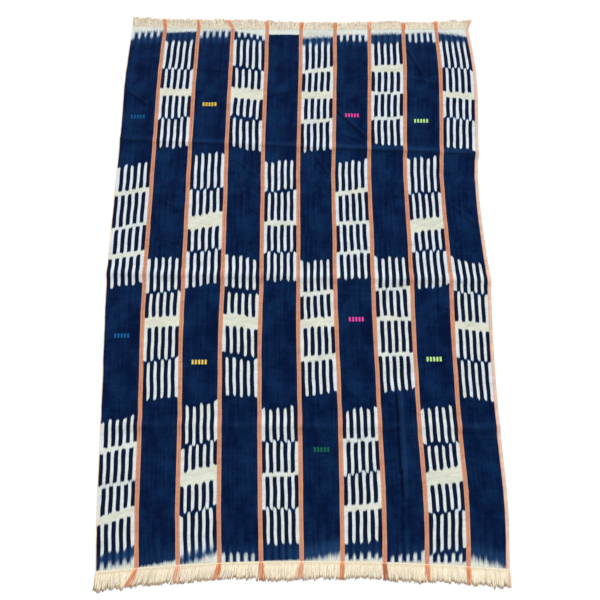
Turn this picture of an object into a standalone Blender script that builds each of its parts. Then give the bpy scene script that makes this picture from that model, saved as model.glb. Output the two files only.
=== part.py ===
"""A strip-woven indigo ikat cloth lying flat on a floor, made in Blender.

Ten narrow woven strips are sewn edge to edge, and each strip ends in a short fringe of its own warp.
Metres, +Z up. +Y runs along the strips to the far end, +X across them to the right. The cloth's underside
lies at Z 0, and the middle of its outline is the origin.
"""

import math
import random
from typing import NamedTuple

import bmesh
import bpy
from mathutils import Vector

# Driving sizes, in metres
STRIP_COUNT = 10
STRIP_PITCH = 0.102
CLOTH_THICKNESS = 0.0012
PIECE_GAP = 0.0003
SELVEDGE_WIDTH = 0.006
PLAIN_ROW_SPACING = 0.074

# The ends of the woven strips, where the hem is stitched
NEAR_HEM_Y = -0.725
NEAR_HEM_DROP_LEFT = 0.024
NEAR_HEM_DROP_RIGHT = 0.019
FAR_HEM_Y = 0.748
FAR_HEM_RISE_LEFT = 0.011
FAR_HEM_RISE_RIGHT = 0.003
CLOTH_HALF_WIDTH = 0.51
SQUARE_REACH = 0.6

# The fringe: a narrow woven band with locks of warp standing apart from it
FRINGE_BAND_DEPTH = 0.006
LOCKS_PER_FRINGE = 11
LOCK_ROOT_SHARE = 0.84
LOCK_TIP_SHARE = 0.56
LOCK_TIP_THICKNESS = 0.0008
LOCK_LENGTH_SPREAD = 0.07
LOCK_SWAY_SPREAD = 0.0012
FRINGE_SEED = 11


class SeamDrift(NamedTuple):
    """How far the seams stray from even spacing at one place along the cloth, all in millimetres."""

    y: float
    left_edge: float
    seam_2: float
    seam_4: float
    seam_6: float
    seam_8: float
    right_edge: float


SEAM_DRIFTS = (
    SeamDrift(y=-760, left_edge=10, seam_2=9, seam_4=9, seam_6=4, seam_8=7, right_edge=6),
    SeamDrift(y=-600, left_edge=2, seam_2=1, seam_4=4, seam_6=5, seam_8=12, right_edge=14),
    SeamDrift(y=-400, left_edge=-3, seam_2=-2, seam_4=0, seam_6=4, seam_8=4, right_edge=7),
    SeamDrift(y=-200, left_edge=-9, seam_2=-8, seam_4=-3, seam_6=-1, seam_8=0, right_edge=5),
    SeamDrift(y=-10, left_edge=-14, seam_2=-8, seam_4=0, seam_6=-5, seam_8=-1, right_edge=9),
    SeamDrift(y=110, left_edge=-11, seam_2=-7, seam_4=0, seam_6=-4, seam_8=-2, right_edge=0),
    SeamDrift(y=260, left_edge=-7, seam_2=-6, seam_4=0, seam_6=-6, seam_8=-6, right_edge=-6),
    SeamDrift(y=400, left_edge=-3, seam_2=-4, seam_4=0, seam_6=-2, seam_8=-3, right_edge=4),
    SeamDrift(y=600, left_edge=0, seam_2=0, seam_4=5, seam_6=3, seam_8=5, right_edge=11),
    SeamDrift(y=760, left_edge=13, seam_2=8, seam_4=8, seam_6=6, seam_8=6, right_edge=-5),
)
DRIFT_SEAM_STEP = 2


class Crease(NamedTuple):
    """A soft ridge that the cloth keeps from having been folded away, with its height at both ends."""

    start: tuple
    end: tuple
    start_height: float
    end_height: float
    half_width: float


MIDDLE_CREASE = Crease(
    start=(-0.53, 0.004), end=(0.53, -0.018), start_height=0.0046, end_height=0.0056, half_width=0.026
)
FAR_QUARTER_CREASE = Crease(
    start=(-0.53, 0.396), end=(0.53, 0.35), start_height=0.0024, end_height=0.0046, half_width=0.024
)
NEAR_QUARTER_CREASE = Crease(
    start=(-0.53, -0.396), end=(0.53, -0.404), start_height=0.002, end_height=0.0034, half_width=0.024
)
CREASES = (MIDDLE_CREASE, FAR_QUARTER_CREASE, NEAR_QUARTER_CREASE)
LONG_PLEAT = Crease(
    start=(0.259, -0.31), end=(0.263, -0.52), start_height=0.0036, end_height=0.0046, half_width=0.032
)
CREASE_ROWS = (-1.0, -0.5, 0.0, 0.5, 1.0)


class FringeShape(NamedTuple):
    """The fringe at the middle of a strip's two ends: its length, and how far its tips lie to the right."""

    near_length: float
    near_sway: float
    far_length: float
    far_sway: float


FRINGE_SHAPES = (
    FringeShape(near_length=0.044, near_sway=-0.004, far_length=0.031, far_sway=-0.001),
    FringeShape(near_length=0.042, near_sway=-0.009, far_length=0.029, far_sway=-0.002),
    FringeShape(near_length=0.038, near_sway=-0.006, far_length=0.031, far_sway=-0.005),
    FringeShape(near_length=0.036, near_sway=-0.004, far_length=0.033, far_sway=-0.003),
    FringeShape(near_length=0.045, near_sway=-0.002, far_length=0.026, far_sway=0.001),
    FringeShape(near_length=0.039, near_sway=0.000, far_length=0.024, far_sway=0.000),
    FringeShape(near_length=0.037, near_sway=-0.001, far_length=0.024, far_sway=0.001),
    FringeShape(near_length=0.042, near_sway=0.003, far_length=0.027, far_sway=0.001),
    FringeShape(near_length=0.038, near_sway=0.002, far_length=0.024, far_sway=0.002),
    FringeShape(near_length=0.042, near_sway=0.001, far_length=0.028, far_sway=0.006),
)

# Finishes: colour, roughness and metallic value
INDIGO = ("indigo_cotton", (0.018, 0.040, 0.125), 0.86, 0.0)
SELVEDGE_ORANGE = ("orange_selvedge", (0.62, 0.29, 0.18), 0.84, 0.0)
UNDYED = ("undyed_cotton", (0.70, 0.66, 0.53), 0.88, 0.0)


def clear_scene():
    """Removes whatever the file starts with."""
    for obj in list(bpy.data.objects):
        bpy.data.objects.remove(obj, do_unlink=True)


def make_material(finish):
    """A Principled material of one finish."""
    name, colour, roughness, metallic = finish
    material = bpy.data.materials.new(name)
    material.use_nodes = True
    shader = material.node_tree.nodes["Principled BSDF"]
    shader.inputs["Base Color"].default_value = (*colour, 1.0)
    shader.inputs["Roughness"].default_value = roughness
    shader.inputs["Metallic"].default_value = metallic
    return material


def smooth_between(stations, values, at):
    """Reads a value off the smooth curve (Catmull-Rom) through the stations."""
    at = min(max(at, stations[0]), stations[-1])
    last = len(stations) - 1
    k = next(i for i in range(last) if at <= stations[i + 1])
    span = stations[k + 1] - stations[k]
    t = (at - stations[k]) / span

    def slope(i):
        low, high = max(i - 1, 0), min(i + 1, last)
        return (values[high] - values[low]) / (stations[high] - stations[low]) * span

    start, end = values[k], values[k + 1]
    return (
        start * (2 * t**3 - 3 * t**2 + 1)
        + slope(k) * (t**3 - 2 * t**2 + t)
        + end * (3 * t**2 - 2 * t**3)
        + slope(k + 1) * (t**3 - t**2)
    )


def seam_x(seam, y):
    """Where seam number 0 (left edge) to 10 (right edge) lies across the cloth, at this place along it."""
    millimetre = 0.001
    stations = [row.y * millimetre for row in SEAM_DRIFTS]
    columns = list(zip(*(row[1:] for row in SEAM_DRIFTS)))
    drifts = [smooth_between(stations, column, y) * millimetre for column in columns]
    numbers = [DRIFT_SEAM_STEP * i for i in range(len(columns))]
    even = (seam - STRIP_COUNT / 2) * STRIP_PITCH
    return even + smooth_between(numbers, drifts, seam)


def near_hem(x):
    """The near hem sags towards the two corners."""
    drop = NEAR_HEM_DROP_LEFT if x < 0 else NEAR_HEM_DROP_RIGHT
    return NEAR_HEM_Y - drop * (x / CLOTH_HALF_WIDTH) ** 2


def far_hem(x):
    """The far hem rises a little towards the two corners."""
    rise = FAR_HEM_RISE_LEFT if x < 0 else FAR_HEM_RISE_RIGHT
    return FAR_HEM_Y + rise * (x / CLOTH_HALF_WIDTH) ** 2


def crease_y(crease, x):
    """Where a crease across the cloth lies along it."""
    (x0, y0), (x1, y1) = crease.start, crease.end
    return y0 + (y1 - y0) * (x - x0) / (x1 - x0)


def ridge(crease, point):
    """The lift of a crease's rounded section here, which is 0 beside it and beyond its ends."""
    start, end = Vector(crease.start), Vector(crease.end)
    along = end - start
    share = min(max((point - start).dot(along) / along.length_squared, 0.0), 1.0)
    off_crest = (point - start.lerp(end, share)).length / crease.half_width
    height = crease.start_height + (crease.end_height - crease.start_height) * share
    return height * math.cos(math.pi / 2 * off_crest) ** 2 if off_crest < 1 else 0.0


def lift(point):
    """How far the creases hold the cloth off the floor here."""
    return max(ridge(crease, point) for crease in (*CREASES, LONG_PLEAT))


def row_y(level, x):
    """One row of the strips' mesh: straight in the middle of the cloth, and in line with a hem at each end."""
    if level <= -SQUARE_REACH:
        share = (level + SQUARE_REACH) / (NEAR_HEM_Y + SQUARE_REACH)
        return level + share * (near_hem(x) - NEAR_HEM_Y)
    if level >= SQUARE_REACH:
        share = (level - SQUARE_REACH) / (FAR_HEM_Y - SQUARE_REACH)
        return level + share * (far_hem(x) - FAR_HEM_Y)
    return level


def row_levels():
    """The rows' places along the cloth at its middle: the foot, flanks and crest of each crease, and plain rows."""
    fixed = {NEAR_HEM_Y, FAR_HEM_Y}
    for crease in CREASES:
        fixed |= {crease_y(crease, 0.0) + share * crease.half_width for share in CREASE_ROWS}
    ordered = sorted(fixed)
    rows = []
    for low, high in zip(ordered, ordered[1:]):
        parts = max(1, math.ceil((high - low) / PLAIN_ROW_SPACING))
        rows += [low + (high - low) * i / parts for i in range(parts)]
    return rows + [FAR_HEM_Y]


def crease_slant(level, x):
    """Rows near a crease turn to run along it."""
    for crease in CREASES:
        centre = crease_y(crease, 0.0)
        if abs(level - centre) <= crease.half_width + PIECE_GAP:
            return crease_y(crease, x) - centre
    return 0.0


def seam_point(seam, level):
    """Where one row of the mesh crosses a seam, which both strips beside it share."""
    near_x = seam_x(seam, level)
    y = row_y(level, near_x) + crease_slant(level, near_x)
    return Vector((seam_x(seam, y), y))


def strip_sides(strip, level):
    """The two ends of a row across one strip, clear of the seams by half the gap between pieces."""
    left, right = seam_point(strip, level), seam_point(strip + 1, level)
    half_gap = Vector((PIECE_GAP / 2, 0.0))
    return left + half_gap, right - half_gap


def strip_point(strip, across, level):
    """A point of a strip's underside, from its place across the strip (0 to 1) and its row."""
    left, right = strip_sides(strip, level)
    point = left.lerp(right, across)
    return Vector((*point, lift(point)))


def thicken(bm, thickness):
    """Makes a sheet of faces into a closed solid, with its underside left where it is."""
    made = bmesh.ops.extrude_face_region(bm, geom=bm.faces[:], use_keep_orig=True)
    top = [item for item in made["geom"] if isinstance(item, bmesh.types.BMVert)]
    bmesh.ops.translate(bm, verts=top, vec=(0.0, 0.0, thickness))
    bmesh.ops.recalc_face_normals(bm, faces=bm.faces[:])
    return top


def finish_object(name, bm, materials):
    """Turns a bmesh into one named object."""
    mesh = bpy.data.meshes.new(name)
    bm.to_mesh(mesh)
    bm.free()
    for material in materials:
        mesh.materials.append(material)
    obj = bpy.data.objects.new(name, mesh)
    bpy.context.scene.collection.objects.link(obj)
    return obj


def make_strip(strip, field, selvedge):
    """One woven strip, with an orange selvedge along each side of its indigo field."""
    border = SELVEDGE_WIDTH / STRIP_PITCH
    columns = (0.0, border, 0.5, 1.0 - border, 1.0)
    levels = row_levels()
    bm = bmesh.new()
    bmesh.ops.create_grid(bm, x_segments=len(columns) - 1, y_segments=len(levels) - 1, size=1.0)
    for vert in bm.verts:
        column = round((vert.co.x + 1) / 2 * (len(columns) - 1))
        row = round((vert.co.y + 1) / 2 * (len(levels) - 1))
        vert.co = strip_point(strip, columns[column], levels[row])
    for face in bm.faces:
        middle = face.calc_center_median()
        left, right = seam_x(strip, middle.y), seam_x(strip + 1, middle.y)
        at_edge = min(middle.x - left, right - middle.x) < SELVEDGE_WIDTH
        face.material_index = 1 if at_edge else 0
    thicken(bm, CLOTH_THICKNESS)
    return finish_object(f"strip_{strip + 1:02d}", bm, (field, selvedge))


def fringe_at(place, end):
    """The length and the sway of the fringe at this place across the cloth, counted in strips."""
    middles = [strip + 0.5 for strip in range(STRIP_COUNT)]
    if end < 0:
        lengths = [shape.near_length for shape in FRINGE_SHAPES]
        sways = [shape.near_sway for shape in FRINGE_SHAPES]
    else:
        lengths = [shape.far_length for shape in FRINGE_SHAPES]
        sways = [shape.far_sway for shape in FRINGE_SHAPES]
    return smooth_between(middles, lengths, place), smooth_between(middles, sways, place)


def make_fringe(strip, end, material):
    """The fringe at one end of a strip: a band beside the hem, and locks that taper away from it.

    end is -1 at the near end and +1 at the far end.
    """
    draw = random.Random(FRINGE_SEED + strip * 2 + (end > 0))
    left, right = strip_sides(strip, NEAR_HEM_Y if end < 0 else FAR_HEM_Y)
    cells = 2 * LOCKS_PER_FRINGE - 1
    pitch = 1 / (LOCKS_PER_FRINGE - 1 + LOCK_ROOT_SHARE)

    def hem_point(column):
        lock, side = divmod(column, 2)
        return left.lerp(right, (lock + side * LOCK_ROOT_SHARE) * pitch)

    bm = bmesh.new()
    bmesh.ops.create_grid(bm, x_segments=cells, y_segments=1, size=1.0)
    columns = {vert: round((vert.co.x + 1) / 2 * cells) for vert in bm.verts}
    outer_row = {vert for vert in bm.verts if vert.co.y * end > 0}
    for vert, column in columns.items():
        depth = FRINGE_BAND_DEPTH if vert in outer_row else PIECE_GAP
        x, y = hem_point(column)
        vert.co = Vector((x, y + end * depth, 0.0))

    outer_edges = [edge for edge in bm.edges if outer_row.issuperset(edge.verts)]
    lock_roots = [edge for edge in outer_edges if min(columns[vert] for vert in edge.verts) % 2 == 0]
    lock_roots.sort(key=lambda edge: edge.verts[0].co.x)

    tips = []
    for edge in lock_roots:
        middle = (edge.verts[0].co + edge.verts[1].co) / 2
        length, sway = fringe_at(strip + (middle.x - left.x) / (right.x - left.x), end)
        reach = length * (1 + draw.uniform(-LOCK_LENGTH_SPREAD, LOCK_LENGTH_SPREAD)) - FRINGE_BAND_DEPTH
        lean = sway + draw.uniform(-LOCK_SWAY_SPREAD, LOCK_SWAY_SPREAD)
        grown = bmesh.ops.extrude_edge_only(bm, edges=[edge])["geom"]
        for vert in (item for item in grown if isinstance(item, bmesh.types.BMVert)):
            side = (vert.co - middle) * LOCK_TIP_SHARE / LOCK_ROOT_SHARE
            vert.co = middle + side + Vector((lean, end * reach, 0.0))
            tips.append((vert.co.x, vert.co.y))

    top = thicken(bm, CLOTH_THICKNESS)
    for vert in top:
        if (vert.co.x, vert.co.y) in tips:
            vert.co.z = LOCK_TIP_THICKNESS
    where = "near" if end < 0 else "far"
    return finish_object(f"{where}_fringe_{strip + 1:02d}", bm, (material,))


def centre_on_origin(objects):
    """Moves every mesh so that the middle of the outline is the origin, with the underside at Z 0."""
    points = [vert.co for obj in objects for vert in obj.data.vertices]
    middle_x = (min(p.x for p in points) + max(p.x for p in points)) / 2
    middle_y = (min(p.y for p in points) + max(p.y for p in points)) / 2
    for obj in objects:
        for vert in obj.data.vertices:
            vert.co.x -= middle_x
            vert.co.y -= middle_y


def main():
    """Builds the whole cloth."""
    clear_scene()
    indigo, orange, undyed = (make_material(finish) for finish in (INDIGO, SELVEDGE_ORANGE, UNDYED))
    objects = []
    for strip in range(STRIP_COUNT):
        objects.append(make_strip(strip, indigo, orange))
        objects.append(make_fringe(strip, -1, undyed))
        objects.append(make_fringe(strip, 1, undyed))
    centre_on_origin(objects)


main()
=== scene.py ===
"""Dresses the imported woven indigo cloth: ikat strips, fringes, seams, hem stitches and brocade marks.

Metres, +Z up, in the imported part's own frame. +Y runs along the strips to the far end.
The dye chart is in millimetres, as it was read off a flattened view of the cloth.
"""

import logging
import math
from dataclasses import dataclass
from enum import Enum

import bmesh
import bpy
import numpy as np
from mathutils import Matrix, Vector


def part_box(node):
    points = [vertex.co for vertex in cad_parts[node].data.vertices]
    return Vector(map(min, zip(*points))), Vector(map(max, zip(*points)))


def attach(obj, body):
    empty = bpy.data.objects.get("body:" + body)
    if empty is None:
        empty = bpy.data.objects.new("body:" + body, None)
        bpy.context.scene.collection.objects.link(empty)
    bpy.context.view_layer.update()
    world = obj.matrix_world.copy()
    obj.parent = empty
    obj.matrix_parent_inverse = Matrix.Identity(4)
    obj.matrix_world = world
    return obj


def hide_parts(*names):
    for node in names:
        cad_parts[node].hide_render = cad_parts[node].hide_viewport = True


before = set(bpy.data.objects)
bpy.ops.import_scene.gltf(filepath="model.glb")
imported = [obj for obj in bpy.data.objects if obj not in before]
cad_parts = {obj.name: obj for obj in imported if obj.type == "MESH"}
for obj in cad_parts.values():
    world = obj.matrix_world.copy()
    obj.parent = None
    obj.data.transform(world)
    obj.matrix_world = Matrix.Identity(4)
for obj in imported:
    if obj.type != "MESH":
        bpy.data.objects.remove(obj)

LOG = logging.getLogger("woven_indigo_cloth")
MILLIMETRE = 0.001
STRIP_COUNT = 10
STRIP_WIDTH = 0.102
CLOTH_THICKNESS = 0.0012
DYE_COLUMNS = 10
BANK_STEP = 8.0

# Turns the sum of two distances into the distance from a corner cut off aslant
DIAGONAL = 0.7

# From the dye chart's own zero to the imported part's origin, in metres
CHART_SHIFT = Vector((0.0060, 0.0051))

Colour = tuple[float, float, float, float]
Pair = tuple[float, float]
Socket = bpy.types.NodeSocket


def srgb(red: int, green: int, blue: int) -> Colour:
    """Turns a colour as seen on a screen (0 to 255) into the linear values that a shader takes.

    Args:
        red: The red value.
        green: The green value.
        blue: The blue value.

    Returns:
        The linear colour with full opacity.
    """

    def linear(value: int) -> float:
        """One channel, from the screen's curve to linear."""
        share = value / 255
        return share / 12.92 if share <= 0.04045 else ((share + 0.055) / 1.055) ** 2.4

    return (linear(red), linear(green), linear(blue), 1.0)


def smooth(value: np.ndarray, low: float, high: float) -> np.ndarray:
    """Rises smoothly from 0 at low to 1 at high.

    Args:
        value: The values to read.
        low: Where the rise starts.
        high: Where it ends, which may lie below low.

    Returns:
        The share for each value.
    """
    share = np.clip((value - low) / (high - low), 0.0, 1.0)
    return share * share * (3 - 2 * share)


def between(pair: Pair | list[np.ndarray], share: np.ndarray) -> np.ndarray:
    """Runs straight from the first value of a pair, at share 0, to the second, at share 1."""
    return pair[0] + (pair[1] - pair[0]) * share


def fetch(items: bpy.types.bpy_prop_collection, key: str, width: int, kind: type = float) -> np.ndarray:
    """Reads one property of many mesh items.

    Args:
        items: The vertices, edges, loops or faces.
        key: The property's name.
        width: How many numbers it has.
        kind: The kind of number, float or int.

    Returns:
        One row for each item.
    """
    values = np.empty(len(items) * width, dtype=np.int32 if kind is int else np.float32)
    items.foreach_get(key, values)
    return values.reshape(-1, width).astype(kind)


class Side(Enum):
    """The two ends of the cloth, and the way that +Y runs at each."""

    NEAR = -1
    FAR = 1

    @property
    def word(self) -> str:
        """The end's name, as the nodes have it."""
        return self.name.lower()


class Notch(Enum):
    """Which dye columns are white in a block's first row, or notched where the dye stops.

    The value is the remainder of their numbers over two.
    """

    NONE = -1
    EVEN = 0
    ODD = 1


class NodeBench:
    """Lays out the nodes of one cotton material."""

    sheen_roughness = 0.5
    specular = 0.04

    def __init__(self, name: str) -> None:
        """Starts a material.

        Args:
            name: The material's name.
        """
        self.material = bpy.data.materials.new(name)
        self.material.use_nodes = True
        self.tree = self.material.node_tree
        self.shader = self.tree.nodes["Principled BSDF"]

    def place(
        self, kind: str, inputs: dict[int | str, object] | None = None, **settings: object
    ) -> bpy.types.Node:
        """Adds one node.

        Args:
            kind: The node's type.
            inputs: What goes into its sockets, each a value or another node's socket.
            settings: The node's own settings.

        Returns:
            The new node.
        """
        node = self.tree.nodes.new(kind)
        for name, value in settings.items():
            setattr(node, name, value)
        for key, value in (inputs or {}).items():
            if isinstance(value, bpy.types.NodeSocket):
                self.tree.links.new(value, node.inputs[key])
            else:
                node.inputs[key].default_value = value
        return node

    def attribute(self, name: str) -> Socket:
        """Reads one of the mesh's own values."""
        return self.place("ShaderNodeAttribute", attribute_name=name).outputs["Fac"]

    def stretch(self, spot: Socket, scale: tuple[float, float, float]) -> Socket:
        """Stretches a place along each axis."""
        return self.place("ShaderNodeVectorMath", {0: spot, 1: scale}, operation="MULTIPLY").outputs[0]

    def threads(self, across: float = 1.0, along: float = 1.0) -> Socket:
        """The place on the woven strip, stretched so that a pattern follows its threads."""
        uv = self.place("ShaderNodeUVMap", uv_map="threads").outputs[0]
        return self.stretch(uv, (across, along, 1.0))

    def here(self, x: float = 1.0, y: float = 1.0, z: float = 1.0) -> Socket:
        """Object coordinates, stretched along each axis."""
        spot = self.place("ShaderNodeTexCoord").outputs["Object"]
        return self.stretch(spot, (x, y, z))

    def noise(self, vector: Socket, scale: float = 1.0, detail: float = 2.0) -> Socket:
        """Cloudy variation from 0 to 1, with that many finer layers of detail."""
        inputs = {"Vector": vector, "Scale": scale, "Detail": detail}
        return self.place("ShaderNodeTexNoise", inputs).outputs[0]

    def maths(
        self, operation: str, first: object, second: object = 0.0, third: object = 0.0
    ) -> Socket:
        """One sum on values or sockets, by Blender's own name for it."""
        inputs = {0: first, 1: second, 2: third}
        return self.place("ShaderNodeMath", inputs, operation=operation).outputs[0]

    def times(self, first: object, second: object, plus: object = 0.0) -> Socket:
        """One value times another, with a third added."""
        return self.maths("MULTIPLY_ADD", first, second, plus)

    def over(self, value: Socket, middle: float = 0.5) -> Socket:
        """How far a value lies above a middle one."""
        return self.maths("SUBTRACT", value, middle)

    def rise(
        self, value: Socket, low: object, high: object, start: float = 0.0, end: float = 1.0
    ) -> Socket:
        """Goes smoothly from start to end as the value goes from low to high.

        Args:
            value: The value to read.
            low: Where the change starts.
            high: Where it ends.
            start: The result below low.
            end: The result above high.

        Returns:
            The value socket.
        """
        inputs = {0: value, 1: low, 2: high, 3: start, 4: end}
        return self.place("ShaderNodeMapRange", inputs, interpolation_type="SMOOTHSTEP").outputs[0]

    def blend(self, share: object, first: object, second: object) -> Socket:
        """A colour between two others: a share of 0 gives the first and 1 the second."""
        inputs = {0: share, 6: first, 7: second}
        return self.place("ShaderNodeMix", inputs, data_type="RGBA").outputs[2]

    def finish(
        self,
        colour: Socket,
        roughness: Socket,
        height: Socket,
        depth: float,
        sheen: float = 0.0,
        under: Socket | None = None,
    ) -> bpy.types.Material:
        """Joins colour, roughness and relief to the shader.

        Args:
            colour: The surface's colour.
            roughness: Its roughness.
            height: Its relief, 0 to 1.
            depth: How deep the relief is, in metres.
            sheen: The soft fibre sheen.
            under: A broader relief that this one lies on, if there is one.

        Returns:
            The finished material.
        """
        inputs = {"Strength": 1.0, "Distance": depth, "Height": height}
        if under is not None:
            inputs["Normal"] = under
        bump = self.place("ShaderNodeBump", inputs)
        self.tree.links.new(colour, self.shader.inputs["Base Color"])
        self.tree.links.new(roughness, self.shader.inputs["Roughness"])
        self.tree.links.new(bump.outputs[0], self.shader.inputs["Normal"])
        self.shader.inputs["Sheen Weight"].default_value = sheen
        self.shader.inputs["Sheen Roughness"].default_value = self.sheen_roughness
        self.shader.inputs["Specular IOR Level"].default_value = self.specular
        return self.material


@dataclass(frozen=True)
class IkatFinish:
    """Resist-dyed cotton: indigo and undyed warp inside orange selvedges, woven with a fine rib."""

    deep: Colour = srgb(2, 18, 55)
    light: Colour = srgb(13, 43, 83)
    # Painted crease shadow; the dye also darkens towards it at the near end
    crease: Colour = srgb(0, 8, 30)
    bar: Colour = srgb(15, 22, 43)
    # Washed-out dye; also the painted crease highlight and the paler fold ridges
    washed: Colour = srgb(44, 84, 132)
    edge_blue: Colour = srgb(80, 118, 152)
    cool_white: Colour = srgb(220, 231, 239)
    warm_white: Colour = srgb(224, 226, 208)
    shaded_white: Colour = srgb(176, 184, 180)
    painted_crease_shade_white: Colour = srgb(150, 154, 150)
    salmon: Colour = srgb(214, 148, 127)
    tan: Colour = srgb(212, 154, 116)
    shaded_orange: Colour = srgb(150, 84, 62)
    pale_edge: Colour = srgb(244, 222, 206)
    rib_width: float = 0.00056
    pick_width: float = 0.0013
    rib_depth: float = 0.00016
    drape_depth: float = 0.013

    def undyed(self, bench: NodeBench, thread: Socket, fray: Socket) -> tuple[Socket, Socket]:
        """How far inside the white each thread lies, in millimetres, and its share of white.

        Args:
            bench: The material's bench.
            thread: The fine noise along each thread.
            fray: The broader noise along groups of threads.

        Returns:
            The distance, below zero in the dye, and the share.
        """
        lump = bench.noise(bench.threads(120.0, 12.0), detail=1.0)
        strand = bench.times(lump, 0.7, bench.times(thread, 0.4))
        strand = bench.times(fray, 0.9, strand)
        wander = bench.times(bench.over(strand, 1.0), bench.attribute("fray"))
        edge = bench.times(wander, 3.4, bench.attribute("undyed"))
        soft = bench.times(bench.attribute("fray"), 0.8)
        soft = bench.times(bench.attribute("washed"), 8.0, soft)
        return edge, bench.rise(edge, bench.times(soft, -1.0), soft)

    def indigo(self, bench: NodeBench, edge: Socket, line: Socket) -> Socket:
        """The dyed warp: streaked, paler where washed and on the fold ridges, darker among the bars and
        towards the near end, with painted shadow along the creases and painted highlight beside them.

        Args:
            bench: The material's bench.
            edge: How far inside the white each thread lies.
            line: The strength of the painted crease shadow.

        Returns:
            The colour socket.
        """
        streak = bench.noise(bench.threads(330.0, 7.0), detail=4.0)
        cloud = bench.noise(bench.threads(20.0, 13.0), detail=4.0)
        patch = bench.noise(bench.threads(60.0, 44.0), detail=4.0)
        grain = bench.noise(bench.threads(300.0, 210.0), detail=2.0)
        picks = bench.noise(bench.threads(14.0, 180.0), detail=2.0)
        mottle = bench.times(streak, 0.27, bench.times(cloud, 0.38))
        for layer, strength in ((picks, 0.07), (patch, 0.16), (grain, 0.12)):
            mottle = bench.times(layer, strength, mottle)
        indigo = bench.blend(bench.rise(mottle, 0.4, 0.61), self.deep, self.light)
        # Paler on the fold ridges
        indigo = bench.blend(bench.attribute("ridge_paling"), indigo, self.washed)
        along = bench.place("ShaderNodeSeparateXYZ", {0: bench.here()}).outputs[1]
        fade = bench.rise(streak, 0.25, 0.75, 0.45, 1.25)
        fade = bench.maths("MINIMUM", bench.times(bench.attribute("washed"), fade), 1.0)
        # Darker towards the near end and among the bars, washed out, darker at the field's sides, pale at
        # the dye's edge, then painted crease shadow and painted crease highlight
        for share, colour in (
            (bench.rise(along, 0.45, -0.35, 0.0, 0.14), self.crease),
            (bench.times(bench.attribute("barred"), 0.8), self.bar),
            (fade, self.washed),
            (bench.rise(bench.attribute("inset"), 0.2, 2.2, 0.55, 0.0), self.bar),
            (bench.rise(edge, -3.0, 0.0, 0.0, 0.45), self.edge_blue),
            (bench.times(line, 0.85), self.crease),
            (bench.rise(bench.attribute("line"), 0.0, -1.0, 0.0, 0.12), self.washed),
        ):
            indigo = bench.blend(share, indigo, colour)
        return indigo

    def white(self, bench: NodeBench, thread: Socket, line: Socket) -> Socket:
        """The undyed warp: cool and warm in patches, greyer between its threads, with painted shadow along
        the creases.

        Args:
            bench: The material's bench.
            thread: The fine noise along each thread.
            line: The strength of the painted crease shadow.

        Returns:
            The colour socket.
        """
        tone = bench.noise(bench.threads(58.0, 8.0), detail=1.0)
        tone = bench.times(bench.over(tone), 1.4, bench.attribute("warm"))
        white = bench.blend(tone, self.cool_white, self.warm_white)
        white = bench.blend(bench.rise(thread, 0.3, 0.8, 0.0, 0.16), white, self.shaded_white)
        # Painted shadow along the creases
        return bench.blend(bench.times(line, 0.4), white, self.painted_crease_shade_white)

    def orange(self, bench: NodeBench, thread: Socket, line: Socket) -> Socket:
        """The selvedge warp: salmon and tan in patches, bleached along the cloth's outer sides, with
        painted shadow along the creases.

        Args:
            bench: The material's bench.
            thread: The fine noise along each thread.
            line: The strength of the painted crease shadow.

        Returns:
            The colour socket.
        """
        blotch = bench.noise(bench.threads(70.0, 16.0), detail=3.0)
        orange = bench.blend(bench.rise(blotch, 0.36, 0.64), self.salmon, self.tan)
        orange = bench.blend(bench.rise(thread, 0.3, 0.8, 0.0, 0.2), orange, self.shaded_orange)
        # Painted shadow along the creases
        orange = bench.blend(bench.times(line, 0.35), orange, self.shaded_orange)
        return bench.blend(bench.attribute("bleached"), orange, self.pale_edge)

    def weave(self, bench: NodeBench, thread: Socket) -> Socket:
        """The relief of the ribs along the warp and of the picks that cross them.

        Args:
            bench: The material's bench.
            thread: The fine noise along each thread.

        Returns:
            The height socket.
        """
        place = bench.place("ShaderNodeSeparateXYZ", {0: bench.threads()})
        rib = bench.maths("SINE", bench.times(place.outputs[0], math.tau / self.rib_width))
        pick = bench.maths("SINE", bench.times(place.outputs[1], math.tau / self.pick_width))
        return bench.times(thread, 0.5, bench.times(bench.times(rib, pick), 0.35, bench.times(rib, 0.3)))

    def material(self) -> bpy.types.Material:
        """Builds the material, which reads the strip's dye values.

        Returns:
            The ikat's material.
        """
        bench = NodeBench("ikat_cotton")
        thread = bench.noise(bench.threads(1700.0, 24.0), detail=1.0)
        fray = bench.noise(bench.threads(420.0, 16.0), detail=3.0)
        # The painted crease shadow, read from the strip's crease line values
        line = bench.rise(bench.attribute("line"), 0.0, 1.0)
        edge, white_share = self.undyed(bench, thread, fray)
        dyed = self.indigo(bench, edge, line)
        field_colour = bench.blend(white_share, dyed, self.white(bench, thread, line))
        drift = bench.over(bench.noise(bench.threads(8.0, 12.0), detail=2.0))
        wavering = bench.times(drift, 3.2, bench.attribute("inset"))
        wavering = bench.times(bench.over(fray), 1.1, wavering)
        orange = self.orange(bench, thread, line)
        colour = bench.blend(bench.rise(wavering, -0.3, 0.3), orange, field_colour)
        roughness = bench.rise(thread, 0.2, 0.8, 0.78, 0.92)
        drape = bench.noise(bench.here(13.0, 17.0, 13.0), detail=3.0)
        loose = {"Strength": 1.0, "Distance": self.drape_depth, "Height": drape}
        under = bench.place("ShaderNodeBump", loose).outputs[0]
        height = self.weave(bench, thread)
        return bench.finish(colour, roughness, height, self.rib_depth, under=under)


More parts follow.
